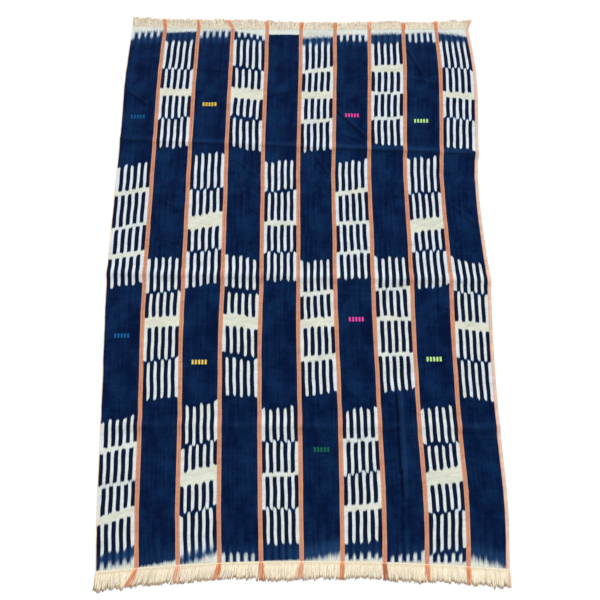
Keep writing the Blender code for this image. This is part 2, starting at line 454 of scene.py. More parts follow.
@dataclass(frozen=True)
class YarnFinish:
    """Loose undyed warp, browner and with painted shadow towards its tips, with painted shade under other
    yarns and at its roots by the near hem, and with orange warp beside the seams.
    """

    cream: Colour = srgb(255, 246, 224)
    shade: Colour = srgb(240, 224, 192)
    aged: Colour = srgb(198, 192, 180)
    stain: Colour = srgb(164, 122, 92)
    # Dark specks, and the painted shade under other yarns and at the roots
    speck_and_yarn_shade: Colour = srgb(186, 168, 130)
    tip: Colour = srgb(198, 142, 88)
    orange: Colour = srgb(242, 166, 118)
    core: Colour = srgb(214, 130, 80)
    pale_orange: Colour = srgb(246, 208, 184)
    worn_orange: Colour = srgb(180, 104, 78)
    twist_depth: float = 0.0002

    def material(self) -> bpy.types.Material:
        """Builds the material, which reads each yarn's own values.

        Returns:
            The yarn's material.
        """
        bench = NodeBench("undyed_yarn")
        fibre = bench.noise(bench.here(2400.0, 500.0, 2400.0), detail=2.0)
        shade = bench.rise(bench.attribute("yarn"), 0.45, 1.0, 0.0, 0.5)
        cream = bench.blend(shade, self.cream, self.shade)
        cream = bench.blend(bench.rise(fibre, 0.35, 0.75, 0.0, 0.3), cream, self.shade)
        speck = bench.noise(bench.here(460.0, 260.0, 460.0), detail=2.0)
        cream = bench.blend(bench.rise(speck, 0.56, 0.7, 0.0, 0.45), cream, self.speck_and_yarn_shade)
        aged = bench.noise(bench.here(260.0, 120.0, 260.0), detail=2.0)
        # Browner towards the tips: partly real browning, partly painted shadow along the tip edges
        at_tip = bench.rise(bench.attribute("along"), 0.74, 1.0)
        browned_and_shaded_tips = bench.times(at_tip, bench.rise(aged, 0.34, 0.58))
        cream = bench.blend(bench.times(browned_and_shaded_tips, 0.8), cream, self.tip)
        # Painted shade on the yarns lying under the others, towards the tips
        towards_tip = bench.rise(bench.attribute("along"), 0.4, 0.9)
        sunk = bench.times(bench.attribute("under"), towards_tip)
        cream = bench.blend(sunk, cream, self.speck_and_yarn_shade)
        # Painted shade on the roots where they come out from under the near hem
        shaded = bench.rise(bench.attribute("along"), 0.08, 0.30, 0.5, 0.0)
        cream = bench.blend(bench.times(shaded, bench.attribute("root_shade_strength")), cream, self.speck_and_yarn_shade)
        far = bench.rise(bench.attribute("root_shade_strength"), 0.9, 0.2)
        cream = bench.blend(bench.times(far, 0.3), cream, self.aged)
        knot = bench.rise(bench.noise(bench.here(190.0, 170.0, 190.0), detail=1.0), 0.6, 0.72, 0.0, 0.7)
        cream = bench.blend(bench.times(far, knot), cream, self.stain)
        dyed = bench.blend(bench.rise(bench.attribute("yarn"), 0.3, 0.9), self.orange, self.core)
        dyed = bench.blend(bench.rise(bench.attribute("pale"), 0.0, 1.0), dyed, self.pale_orange)
        dyed = bench.blend(bench.rise(bench.attribute("pale"), 0.0, -1.0), dyed, self.worn_orange)
        colour = bench.blend(bench.attribute("orange"), cream, dyed)
        twist = bench.noise(bench.here(1500.0, 900.0, 1500.0), detail=1.0)
        roughness = bench.rise(fibre, 0.2, 0.8, 0.8, 0.95)
        return bench.finish(colour, roughness, twist, self.twist_depth, sheen=0.04)


@dataclass(frozen=True)
class ThreadFinish:
    """Twisted sewing thread or brocade floss of one colour."""

    name: str
    main: Colour
    shade: Colour
    low_roughness: float = 0.6
    twist_depth: float = 0.00018

    def material(self) -> bpy.types.Material:
        """Builds the material on Object coordinates.

        Returns:
            The thread's material.
        """
        bench = NodeBench(self.name)
        ply = bench.noise(bench.here(900.0, 1900.0, 900.0), detail=2.0)
        patch = bench.noise(bench.here(70.0, 70.0, 70.0), detail=2.0)
        colour = bench.blend(bench.rise(ply, 0.3, 0.75, 0.0, 0.55), self.main, self.shade)
        colour = bench.blend(bench.rise(patch, 0.4, 0.8, 0.0, 0.3), colour, self.shade)
        roughness = bench.rise(ply, 0.2, 0.8, self.low_roughness, 0.9)
        return bench.finish(colour, roughness, ply, self.twist_depth, sheen=0.04)


@dataclass(frozen=True)
class FloorFinish:
    """The plain pale floor."""

    pale: Colour = srgb(252, 252, 252)
    mottled: Colour = srgb(248, 248, 249)
    depth: float = 0.0001

    def material(self) -> bpy.types.Material:
        """Builds the material on Object coordinates.

        Returns:
            The floor's material.
        """
        bench = NodeBench("pale_floor")
        cloud = bench.noise(bench.here(3.0, 3.0, 3.0), detail=3.0)
        colour = bench.blend(cloud, self.pale, self.mottled)
        roughness = bench.rise(cloud, 0.2, 0.8, 0.7, 0.85)
        return bench.finish(colour, roughness, cloud, self.depth)


@dataclass(frozen=True)
class Join:
    """Where two rows of bars meet: its level at the strip's left and right, and the white band's height.

    A height below zero is the depth of a dark link between the rows.
    """

    left: float
    right: float
    white: float

    @property
    def level(self) -> Pair:
        """The level at the strip's left and right."""
        return self.left, self.right


@dataclass(frozen=True)
class Block:
    """Four rows of white bars, each in every other dye column, as a weaver's chart has them."""

    first: Notch
    top: Pair
    joins: tuple[Join, Join, Join]
    bottom: Pair
    leans: tuple[float, float, float, float] = (0.0, 0.0, 0.0, 0.0)

    def borders(self) -> list[tuple[Pair, float]]:
        """The borders of the rows from the top down, each with its level and its band's height."""
        return [(self.top, 0.0), *((join.level, join.white) for join in self.joins), (self.bottom, 0.0)]


@dataclass(frozen=True)
class DyeEnd:
    """Where the dye stops at one end of a strip."""

    edge: Pair
    notch: Notch = Notch.NONE
    notch_to: Pair = (0.0, 0.0)
    fray: float = 1.6
    washed: float = 0.0


@dataclass(frozen=True)
class StripChart:
    """The dye chart of one strip: its two blocks of bars and its two ends."""

    upper: Block
    lower: Block
    far: DyeEnd
    near: DyeEnd

    def end(self, side: Side) -> DyeEnd:
        """Where the dye stops at one end."""
        return self.far if side is Side.FAR else self.near


CHARTS = (
    StripChart(
        Block(Notch.EVEN, (303, 322), (Join(225, 241, 16), Join(122, 140, 10), Join(44, 59, 15)),
              (-45, -25), (0, 0, 0, -1.5)),
        Block(Notch.EVEN, (-397, -375), (Join(-466, -448, 14), Join(-555, -535, 9), Join(-636, -605, 19)),
              (-715, -687), (0.5, 0.5, 0.5, -1)),
        DyeEnd((733, 740), Notch.EVEN, (713, 726), 6.0, 0.8),
        DyeEnd((-748, -727), Notch.ODD, (-738, -716), 6.0, 0.75),
    ),
    StripChart(
        Block(Notch.EVEN, (703, 703), (Join(615, 612, -5), Join(540, 536, 22), Join(455, 460, -6)),
              (366, 370), (1.5, 1, 0, 0)),
        Block(Notch.EVEN, (38, 42), (Join(-55, -48, -6), Join(-137, -130, 27), Join(-240, -228, -6)),
              (-338, -325), (0, 0.5, 0, -1)),
        DyeEnd((733, 738), fray=3.0, washed=0.45),
        DyeEnd((-740, -725), fray=5.0, washed=0.15),
    ),
    StripChart(
        Block(Notch.ODD, (342, 348), (Join(237, 245, -7), Join(140, 156, 41), Join(57, 68, -6)),
              (-42, -22)),
        Block(Notch.ODD, (-358, -343), (Join(-457, -437, -8), Join(-535, -516, 36), Join(-618, -597, -7)),
              (-712, -690), (0, 0.5, -0.5, 0)),
        DyeEnd((738, 740), Notch.EVEN, (717, 723), 6.0, 0.7),
        DyeEnd((-738, -708), fray=8.0, washed=0.85),
    ),
    StripChart(
        Block(Notch.EVEN, (712, 700), (Join(622, 607, -7), Join(540, 529, 34), Join(460, 450, -12)),
              (370, 353), (-1.5, -1.5, 2.5, -3)),
        Block(Notch.EVEN, (48, 35), (Join(-46, -54, -17), Join(-126, -138, 33), Join(-221, -232, -14)),
              (-320, -330), (-0.5, -2, -3, -1)),
        DyeEnd((738, 722), Notch.ODD, (722, 712), 4.0, 0.3),
        DyeEnd((-733, -731), Notch.EVEN, (-709, -709), 7.0, 0.5),
    ),
    StripChart(
        Block(Notch.EVEN, (318, 325), (Join(232, 237, -7), Join(140, 142, 16), Join(58, 58, -6)),
              (-21, -21), (0, 0, 0, 0.5)),
        Block(Notch.EVEN, (-365, -355), (Join(-441, -441, -6), Join(-524, -520, 12), Join(-604, -604, -2)),
              (-685, -685), (-0.5, 0.5, 0, -0.5)),
        DyeEnd((727, 727), fray=1.2),
        DyeEnd((-726, -723), fray=2.0, washed=0.4),
    ),
    StripChart(
        Block(Notch.EVEN, (692, 698), (Join(602, 614, 15), Join(528, 531, 22), Join(443, 452, 14)),
              (350, 362), (0, 1, 0, -1.5)),
        Block(Notch.EVEN, (30, 36), (Join(-60, -52, 13), Join(-138, -132, 24), Join(-234, -224, 16)),
              (-330, -310), (0, -1.5, -0.5, 0)),
        DyeEnd((715, 722), fray=5.0, washed=0.8),
        DyeEnd((-728, -711), fray=8.0, washed=0.5),
    ),
    StripChart(
        Block(Notch.ODD, (313, 328), (Join(225, 240, 16), Join(140, 144, 12), Join(54, 61, 11)),
              (-17, -17), (-0.5, 0, -2, -0.5)),
        Block(Notch.ODD, (-370, -355), (Join(-441, -436, 11), Join(-523, -512, -1), Join(-605, -597, 17)),
              (-685, -677), (-0.5, 0, 0, -0.5)),
        DyeEnd((725, 727), Notch.ODD, (707, 707), 4.0, 0.45),
        DyeEnd((-724, -720), Notch.EVEN, (-710, -708), 5.0, 0.35),
    ),
    StripChart(
        Block(Notch.EVEN, (695, 698), (Join(613, 617, 22), Join(536, 536, 9), Join(455, 458, 11)),
              (376, 376), (-1, 0, 0, -2.5)),
        Block(Notch.EVEN, (40, 42), (Join(-47, -41, 10), Join(-125, -126, 15), Join(-222, -219, 11)),
              (-315, -308), (0, -2, -0.5, 0)),
        DyeEnd((728, 732), fray=5.0, washed=0.6),
        DyeEnd((-734, -724), Notch.ODD, (-716, -704), 5.0, 0.3),
    ),
    StripChart(
        Block(Notch.EVEN, (328, 335), (Join(225, 232, -7), Join(132, 142, 36), Join(58, 65, -7)),
              (-45, -32), (0, 0, 0, -1)),
        Block(Notch.EVEN, (-365, -352), (Join(-450, -445, -8), Join(-534, -521, 38), Join(-615, -608, -6)),
              (-704, -697), (-1, -0.5, -2, 1.5)),
        DyeEnd((729, 735), Notch.ODD, (702, 702), 4.6, 0.5),
        DyeEnd((-730, -729), Notch.EVEN, (-712, -710), 4.0, 0.2),
    ),
    StripChart(
        Block(Notch.EVEN, (705, 695), (Join(620, 611, -3), Join(533, 525, 19), Join(460, 450, -1)),
              (367, 357), (-1, 0, 0, 0)),
        Block(Notch.EVEN, (43, 18), (Join(-52, -61, -3), Join(-141, -150, 21), Join(-232, -245, -4)),
              (-327, -340), (-1, -1.5, -1, -1)),
        DyeEnd((733, 722), fray=4.6, washed=0.6),
        DyeEnd((-718, -744), fray=11.0, washed=0.35),
    ),
)


@dataclass(frozen=True)
class Crease:
    """A soft ridge left by folding, with its height at both ends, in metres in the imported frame."""

    start: Pair
    end: Pair
    start_height: float
    end_height: float
    half_width: float
    # How tall a crease is for its full painted shadow, and the width, place and fading of its painted
    # shadow and highlight
    full_shadow: float = 0.0024
    line_width: float = 0.0048
    line_place: float = 0.22
    fade_from: float = -0.03
    fade_to: float = 0.06

    def place(self, x: np.ndarray, y: np.ndarray) -> tuple[np.ndarray, np.ndarray, float]:
        """Reads places on the cloth in the crease's own terms.

        Args:
            x: Places across the cloth.
            y: Places along it.

        Returns:
            How far along the crease each lies, as a share, how far to its left, and the crease's length.
        """
        (x0, y0), (x1, y1) = self.start, self.end
        run_x, run_y = x1 - x0, y1 - y0
        length = math.hypot(run_x, run_y)
        share = ((x - x0) * run_x + (y - y0) * run_y) / length**2
        beside = ((y - y0) * run_x - (x - x0) * run_y) / length
        return share, beside, length

    def lift(self, x: np.ndarray, y: np.ndarray) -> np.ndarray:
        """How far the ridge raises the cloth at each place.

        Args:
            x: Places across the cloth.
            y: Places along it.

        Returns:
            The lift at each place.
        """
        share, beside, length = self.place(x, y)
        on_crease = np.clip(share, 0.0, 1.0)
        away = np.hypot(beside, (share - on_crease) * length) / self.half_width
        height = between((self.start_height, self.end_height), on_crease)
        return np.where(away < 1.0, height * np.cos(np.pi / 2 * np.minimum(away, 1.0)) ** 2, 0.0)

    def mark(self, x: np.ndarray, y: np.ndarray) -> np.ndarray:
        """The painted shadow and the painted highlight that lie on either side of a crease's ridge.

        Args:
            x: Places across the cloth.
            y: Places along it.

        Returns:
            Its strength at each place, up to 1 in the painted shadow and below zero in the painted
            highlight.
        """
        share, beside, _ = self.place(x, y)
        fading = smooth(np.minimum(share, 1 - share), self.fade_from, self.fade_to)
        deep = min(1.0, max(self.start_height, self.end_height) / self.full_shadow)
        offset = self.half_width * self.line_place
        dark = np.exp(-(((beside + offset) / self.line_width) ** 2))
        light = np.exp(-(((beside - offset) / self.line_width) ** 2))
        return deep * fading * (dark - light)


@dataclass(frozen=True)
class ClothRelief:
    """Every ridge, wrinkle and slow swell of the laid cloth."""

    folds: tuple[Crease, ...] = (
        Crease((-0.53, 0.0061), (0.53, -0.0159), 0.0046, 0.0056, 0.026, 0.0120),
        Crease((-0.53, 0.3981), (0.53, 0.3521), 0.0024, 0.0046, 0.024, 0.0066),
        Crease((-0.53, -0.3939), (0.53, -0.4019), 0.0020, 0.0034, 0.024, 0.0100),
        Crease((0.259, -0.3079), (0.263, -0.5179), 0.0036, 0.0046, 0.032),
    )
    wrinkles: tuple[Crease, ...] = (
        Crease((0.316, 0.695), (0.366, 0.595), 0.0010, 0.0020, 0.013),
        Crease((0.109, 0.488), (0.193, 0.402), 0.0022, 0.0012, 0.014),
        Crease((0.120, 0.415), (0.176, 0.392), 0.0010, 0.0018, 0.012),
        Crease((-0.494, 0.545), (-0.440, 0.505), 0.0020, 0.0010, 0.014),
        Crease((-0.184, 0.335), (-0.104, 0.275), 0.0014, 0.0011, 0.013),
        Crease((0.036, 0.365), (0.086, 0.285), 0.0011, 0.0015, 0.013),
        Crease((0.330, 0.590), (0.402, 0.572), 0.0014, 0.0008, 0.011),
        Crease((-0.302, 0.618), (-0.212, 0.612), 0.0013, 0.0009, 0.011),
        Crease((0.263, -0.506), (0.265, -0.572), 0.0024, 0.0016, 0.018),
        Crease((0.265, -0.562), (0.262, -0.680), 0.0011, 0.0008, 0.016),
        Crease((-0.382, 0.215), (-0.330, 0.185), 0.0010, 0.0012, 0.012),
        Crease((0.420, 0.205), (0.482, 0.150), 0.0013, 0.0008, 0.013),
        Crease((0.250, 0.290), (0.262, 0.100), 0.0010, 0.0014, 0.012),
        Crease((-0.172, 0.318), (-0.150, 0.180), 0.0010, 0.0013, 0.012),
        Crease((0.120, -0.300), (0.180, -0.345), 0.0010, 0.0012, 0.012),
        Crease((-0.096, 0.530), (-0.012, 0.554), 0.0012, 0.0008, 0.012),
        Crease((0.110, 0.589), (0.202, 0.598), 0.0008, 0.0010, 0.011),
        Crease((0.425, -0.560), (0.480, -0.600), 0.0010, 0.0008, 0.012),
    )
    swell: float = 0.0005
    swell_seed: int = 5
    swell_waves: int = 9
    wave_lengths: Pair = (0.05, 0.19)
    flat_hem: Pair = (0.735, 0.66)

    def lift(self, x: np.ndarray, y: np.ndarray) -> np.ndarray:
        """How far the cloth's underside stands off the floor.

        Args:
            x: Places across the cloth.
            y: Places along it.

        Returns:
            The height at each place, never below the floor.
        """
        fold = np.max([crease.lift(x, y) for crease in self.folds], axis=0)
        wrinkle = np.max([crease.lift(x, y) for crease in self.wrinkles], axis=0)
        draw = np.random.default_rng(self.swell_seed)
        waves = np.zeros_like(x)
        for _ in range(self.swell_waves):
            turn, phase = draw.uniform(0.0, math.tau, 2)
            length = draw.uniform(*self.wave_lengths)
            waves += np.sin((x * math.cos(turn) + y * math.sin(turn)) * math.tau / length + phase)
        at_hems = smooth(np.abs(y), *self.flat_hem)
        return fold + (wrinkle + self.swell * np.clip(waves / 3 + 0.3, 0.0, 2.0)) * at_hems

    def line(self, x: np.ndarray, y: np.ndarray) -> np.ndarray:
        """The painted crease shadows at each place of the cloth, above zero, and the painted crease
        highlights, below it.
        """
        return np.sum([crease.mark(x, y) for crease in self.folds + self.wrinkles], axis=0)


class CutOutline:
    """Reads where the sides and hems of one CAD strip lie, off the edges of its mesh."""

    margin = 0.012
    samples = 360
    hem_margin = 0.003
    hem_samples = 9

    def __init__(self, node: str) -> None:
        """Reads the node.

        Args:
            node: The CAD node's name.
        """
        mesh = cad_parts[node].data
        points = fetch(mesh.vertices, "co", 3)
        self.edges = points[fetch(mesh.edges, "vertices", 2, int), :2]
        low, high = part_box(node)
        self.rows = np.linspace(low.y + self.margin, high.y - self.margin, self.samples)
        sides = np.array([self.reach(1, y) for y in self.rows])
        self.left, self.right = sides[:, 0], sides[:, 1]
        self.near_x, self.near_y = self.hem(Side.NEAR)
        self.far_x, self.far_y = self.hem(Side.FAR)

    def reach(self, axis: int, at: float) -> tuple[float, float]:
        """How far the outline reaches on one straight line through it.

        Args:
            axis: The axis that the line is square to, 0 or 1.
            at: Where the line crosses that axis.

        Returns:
            The lowest and highest place along the line.
        """
        start, end = self.edges[:, 0], self.edges[:, 1]
        run = end[:, axis] - start[:, axis]
        crossed = (np.abs(run) > 1e-7) & ((start[:, axis] - at) * (end[:, axis] - at) <= 0)
        start, end, run = start[crossed], end[crossed], run[crossed]
        share = (at - start[:, axis]) / run
        places = start[:, 1 - axis] + share * (end[:, 1 - axis] - start[:, 1 - axis])
        return float(places.min()), float(places.max())

    def hem(self, side: Side) -> tuple[np.ndarray, np.ndarray]:
        """Samples one hem of the strip.

        Args:
            side: Which end.

        Returns:
            The places across, and the hem's place along at each.
        """
        row = 0 if side is Side.NEAR else -1
        left, right = self.left[row] + self.hem_margin, self.right[row] - self.hem_margin
        across = np.linspace(left, right, self.hem_samples)
        reached = np.array([self.reach(0, x) for x in across])
        return across, reached[:, 0 if side is Side.NEAR else 1]

    @staticmethod
    def read(at: np.ndarray, places: np.ndarray, values: np.ndarray) -> np.ndarray:
        """Reads a sampled line, carried on straight past both of its ends.

        Args:
            at: Where to read it.
            places: Where it was sampled, rising.
            values: What was found there.

        Returns:
            The line's value at each place.
        """
        first = (values[1] - values[0]) / (places[1] - places[0])
        last = (values[-1] - values[-2]) / (places[-1] - places[-2])
        inside = np.interp(at, places, values)
        return inside + np.minimum(at - places[0], 0.0) * first + np.maximum(at - places[-1], 0.0) * last

    def spot(self, across: np.ndarray, along: np.ndarray) -> tuple[np.ndarray, np.ndarray]:
        """Turns a place on the strip's own cloth into a place on the floor.

        Args:
            across: From 0 at its left side to 1 at its right.
            along: From 0 at its near hem to 1 at its far hem.

        Returns:
            The x and y of each place.
        """
        ends = []
        for places, values, row in ((self.near_x, self.near_y, 0), (self.far_x, self.far_y, -1)):
            x = between((self.left[row], self.right[row]), across)
            ends.append(self.read(x, places, values))
        y = between(ends, along)
        sides = [self.read(y, self.rows, side) for side in (self.left, self.right)]
        return between(sides, across), y


class MeshBank:
    """Many copies of one small shape, made in a row and then each moved to its own place."""

    def __init__(self, name: str, shape: bmesh.types.BMesh, copies: int) -> None:
        """Makes the copies.

        Args:
            name: The piece's name.
            shape: The small shape, about one unit across, which this frees.
            copies: How many there are.
        """
        bmesh.ops.spin(
            shape,
            geom=shape.verts[:] + shape.edges[:] + shape.faces[:],
            cent=(0.0, 0.0, 0.0),
            axis=(0.0, 0.0, 1.0),
            dvec=(BANK_STEP, 0.0, 0.0),
            angle=0.0,
            steps=copies - 1,
            use_duplicate=True,
        )
        self.name = name
        self.mesh = bpy.data.meshes.new(name)
        shape.to_mesh(self.mesh)
        shape.free()
        self.local = fetch(self.mesh.vertices, "co", 3)
        self.number = np.rint(self.local[:, 0] / BANK_STEP).astype(int)
        self.local[:, 0] -= self.number * BANK_STEP

    def settle(
        self, points: np.ndarray, values: dict[str, np.ndarray], material: bpy.types.Material
    ) -> bpy.types.Object:
        """Puts every point in its place and makes the piece.

        Args:
            points: One row of x, y and z for each point.
            values: Named values for the material, one for each point.
            material: The finish.

        Returns:
            The new object.
        """
        self.mesh.vertices.foreach_set("co", points.astype(np.float32).ravel())
        self.mesh.calc_loop_triangles()
        corners = fetch(self.mesh.loop_triangles, "vertices", 3, int)
        a, b, c = points[corners].transpose(1, 0, 2)
        if np.einsum("ij,ij->i", a, np.cross(b, c)).sum() < 0:
            self.mesh.flip_normals()
        return make_piece(self.name, self.mesh, values, material)


def make_piece(
    name: str, mesh: bpy.types.Mesh, values: dict[str, np.ndarray], material: bpy.types.Material
) -> bpy.types.Object:
    """Turns a mesh into a piece that rides on the cloth.

    Args:
        name: The piece's name.
        mesh: Its mesh, already in place.
        values: Named values for the material, one for each point.
        material: The finish.

    Returns:
        The new object.
    """
    for key, numbers in values.items():
        layer = mesh.attributes.new(key, "FLOAT", "POINT")
        layer.data.foreach_set("value", np.ascontiguousarray(numbers, dtype=np.float32))
    mesh.polygons.foreach_set("use_smooth", np.ones(len(mesh.polygons), dtype=bool))
    mesh.materials.append(material)
    mesh.update()
    piece = bpy.data.objects.new(name, mesh)
    bpy.context.scene.collection.objects.link(piece)
    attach(piece, "root")
    return piece


@dataclass(frozen=True)
class DyePlaces:
    """Places on the dyed field of one strip, which lies between its selvedges.

    The share runs from 0 at the field's left side to 1 at its right, and y is in chart millimetres.
    """

    share: np.ndarray
    y: np.ndarray

    @property
    def column(self) -> np.ndarray:
        """The place across, counted in dye columns."""
        return self.share * DYE_COLUMNS

    @property
    def number(self) -> np.ndarray:
        """The number of the dye column that each place is in."""
        return np.clip(np.floor(self.column), 0, DYE_COLUMNS - 1).astype(int)

    def above(self, level: Pair) -> np.ndarray:
        """How far each place lies beyond a level, which is given at the field's left and right."""
        return self.y - between(level, self.share)


@dataclass
class WovenStrip:
    """One narrow woven strip with its dye.

    Its sizes are in chart millimetres. The seam dip, the worn heights and the thread length are in metres.
    """

    number: int
    outline: CutOutline
    relief: ClothRelief
    chart: StripChart
    width: float = 102.0
    selvedge: float = 5.3
    outer_left: float = 2.6
    outer_right: float = 9.0
    cells_per_column: int = 4
    selvedge_shares: tuple[float, ...] = (0.0, 0.11, 0.34, 0.66)
    rows: int = 330
    # How the cloth thins towards its seams and its near hem, on the face and, by a share, on the back
    seam_dip: float = 0.0005
    seam_round: float = 1.8
    hem_dip: float = 0.7
    back_dip: float = 0.3
    end_facing: float = 0.7
    # The dye columns, and how far the dye's own values reach on either side of an edge
    column_width: float = 8.9
    side_scale: float = 5.0
    dye_reach: float = 16.0
    # How far the bars stray, slant, lean and bend, and how their ends taper
    bar_jitter: float = 3.6
    slant: float = 0.9
    lean_jitter: float = 0.9
    lean_reach: float = 0.7
    sway: float = 0.38
    sway_length: float = 64.0
    end_reach: float = 1.5
    side_creep: float = 0.8
    taper: float = 4.5
    # The white bands between two rows: how far the dye creeps in, and how they point into the bars
    band_jitter: float = 2.2
    band_creep: float = 4.4
    narrow_creep: float = 6.6
    wide_join: float = 18.0
    pointing: float = 1.2
    join_slope: float = 0.8
    # The white notches where the dye stops
    notch_scale: float = 0.6
    notch_creep: float = 2.6
    notch_taper: float = 4.0
    notch_jitter: float = 3.0
    # Where the threads fray, where the dye is washed out and where it is darker among the bars
    bar_fray: float = 2.6
    end_fray: Pair = (30.0, 18.0)
    wash: Pair = (52.0, 16.0)
    wash_contrast: float = 0.85
    in_step: Pair = (75.0, 55.0)
    bar_edge: Pair = (-3.0, 6.0)
    link: Pair = (2.0, 10.0)
    # How warm the white is: on the near half, in the wide joins and at both ends
    warmth: float = 0.06
    near_half_warmth: float = 0.34
    near_half: Pair = (40.0, -90.0)
    least_warm_join: float = 8.0
    join_warmth: float = 0.4
    wide_join_warmth: float = 0.05
    most_warmth: float = 1.05
    warm_band: Pair = (0.8, 0.4)
    near_end_warmth: float = 0.85
    far_end_warmth: float = 0.7
    warm_end: Pair = (8.0, -4.0)
    # How the orange bleaches along the cloth's left and right side
    left_bleach: float = 0.9
    left_pale: Pair = (4.0, 2.5)
    right_bleach: float = 0.62
    right_pale: Pair = (-1.0, 4.0)
    # How much paler the dye is on the fold ridges, and between which heights of the folds it pales
    ridge_paling_strength: float = 0.16
    ridge_paling: Pair = (0.0012, 0.0056)
    # The thread map and the compact map
    thread_length: float = 1.49
    map_parts: int = 3
    map_gap: float = 0.01

    def selvedges(self) -> tuple[float, float]:
        """The widths of the left and right selvedge, in millimetres.

        Returns:
            The left one and the right one.
        """
        left = self.outer_left if self.number == 1 else self.selvedge
        right = self.outer_right if self.number == STRIP_COUNT else self.selvedge
        return left, right

    def columns(self) -> np.ndarray:
        """The mesh's places across the strip, from 0 to 1, with every dye column on one of them.

        Returns:
            The places, from left to right.
        """
        left, right = self.selvedges()
        edge_shares = np.array(self.selvedge_shares)
        inner = np.linspace(left, self.width - right, DYE_COLUMNS * self.cells_per_column + 1)
        places = [edge_shares * left, inner, self.width - edge_shares[::-1] * right]
        return np.concatenate(places) / self.width

    def blank(self, cells: int) -> bpy.types.Mesh:
        """Makes the flat, even sheet that the strip is shaped from: a grid extruded to a closed slab.

        Args:
            cells: How many cells it has across.

        Returns:
            The mesh, with Z 0 at its back and Z 1 at its face.
        """
        bm = bmesh.new()
        bmesh.ops.create_grid(bm, x_segments=cells, y_segments=self.rows, size=1.0)
        made = bmesh.ops.extrude_face_region(bm, geom=bm.faces[:], use_keep_orig=True)
        face = [item for item in made["geom"] if isinstance(item, bmesh.types.BMVert)]
        bmesh.ops.translate(bm, verts=face, vec=(0.0, 0.0, 1.0))
        bmesh.ops.recalc_face_normals(bm, faces=bm.faces[:])
        mesh = bpy.data.meshes.new(f"woven_strip_{self.number:02d}")
        bm.to_mesh(mesh)
        bm.free()
        return mesh

    def inside_columns(self, column: np.ndarray, white: int) -> tuple[np.ndarray, np.ndarray]:
        """Sorts places by dye column.

        Args:
            column: The place across, counted in dye columns.
            white: The remainder over two of the white columns' numbers.

        Returns:
            The column's number, and how far inside a white column each place lies, to the sides' scale.
        """
        number = np.clip(np.floor(column), 0, DYE_COLUMNS - 1).astype(int)
        border = np.clip(np.rint(column), 1, DYE_COLUMNS - 1)
        beside = np.abs(column - border) * self.column_width * self.side_scale
        return number, np.where(number % 2 == white, beside, -beside)

    def bar_row(
        self, block: Block, row: int, phases: np.ndarray, draw: np.random.Generator, places: DyePlaces
    ) -> np.ndarray:
        """How far inside the white of one row of bars each place lies, in chart millimetres.

        Args:
            block: The row's block.
            row: The row, counted from the top.
            phases: Where the slow bend of each column border starts.
            draw: The block's random numbers.
            places: The places.

        Returns:
            The distance, below zero in the dye.
        """
        (top, top_white), (foot, foot_white) = block.borders()[row:row + 2]
        edges = np.arange(DYE_COLUMNS + 1)
        jitter = draw.uniform(-self.lean_jitter, self.lean_jitter, len(edges))
        tilt = block.leans[row] + np.interp(places.column, edges, jitter)
        up = (places.y - (top[0] + foot[0]) / 2) / (top[0] - foot[0])
        bend = places.y * math.tau / self.sway_length + np.interp(places.column, edges, phases)
        drift = tilt * np.clip(up, -self.lean_reach, self.lean_reach) + self.sway * np.sin(bend)
        column = places.column - drift / self.column_width
        number, beside = self.inside_columns(column, (block.first.value + row) % 2)
        beside = beside - self.side_creep * self.side_scale
        ends = draw.uniform(-self.bar_jitter, self.bar_jitter, (2, DYE_COLUMNS))[:, number]
        slants = draw.uniform(-self.slant, self.slant, (2, DYE_COLUMNS))[:, number]
        ends = ends + slants * (column - number - 0.5) * self.column_width + self.end_reach
        white = beside
        reaches = (-places.above(top), places.above(foot))
        for reach, join_white, end in zip(reaches, (top_white, foot_white), ends):
            if join_white <= 0:
                reach = reach + join_white / 2 + end
                white = np.minimum(white, DIAGONAL * (reach + beside - self.taper))
            white = np.minimum(white, reach)
        return white

    def add_band(
        self, bars: np.ndarray, level: Pair, white: float, draw: np.random.Generator, places: DyePlaces
    ) -> np.ndarray:
        """Adds the white band between two rows, which points into the bars that it meets.

        Args:
            bars: How far inside the white of the bars each place lies.
            level: The band's level.
            white: Its height.
            draw: The block's random numbers.
            places: The places.

        Returns:
            The distance inside the white of both.
        """
        wobble = draw.uniform(-self.band_jitter, self.band_jitter, (2, DYE_COLUMNS))[:, places.number]
        above = places.above(level)
        creep = self.band_creep if white > self.wide_join else self.narrow_creep
        band = white / 2 - creep + np.where(above > 0, wobble[0], wobble[1]) - np.abs(above)
        from_middle = self.column_width / 2 + self.side_creep + bars / self.side_scale
        pointed = band + self.pointing * np.maximum(from_middle, 0.0)
        return np.maximum(np.maximum(bars, band), self.join_slope * pointed)

    def bars(self, block: Block, places: DyePlaces) -> np.ndarray:
        """How far inside the white of a block each place lies, in chart millimetres.

        Args:
            block: The block.
            places: The places to read.

        Returns:
            The distance, below zero in the dye.
        """
        draw = np.random.default_rng(100 * self.number + int(abs(block.top[0])))
        phase_draw = np.random.default_rng(7000 + self.number)
        phases = phase_draw.uniform(0.0, 2.0, (len(block.leans), DYE_COLUMNS + 1))
        best = np.full_like(places.y, -2.0 * self.dye_reach)
        for row, row_phases in enumerate(phases):
            best = np.maximum(best, self.bar_row(block, row, row_phases, draw, places))
        for level, white in block.borders():
            if white > 0:
                best = self.add_band(best, level, white, draw, places)
        return best

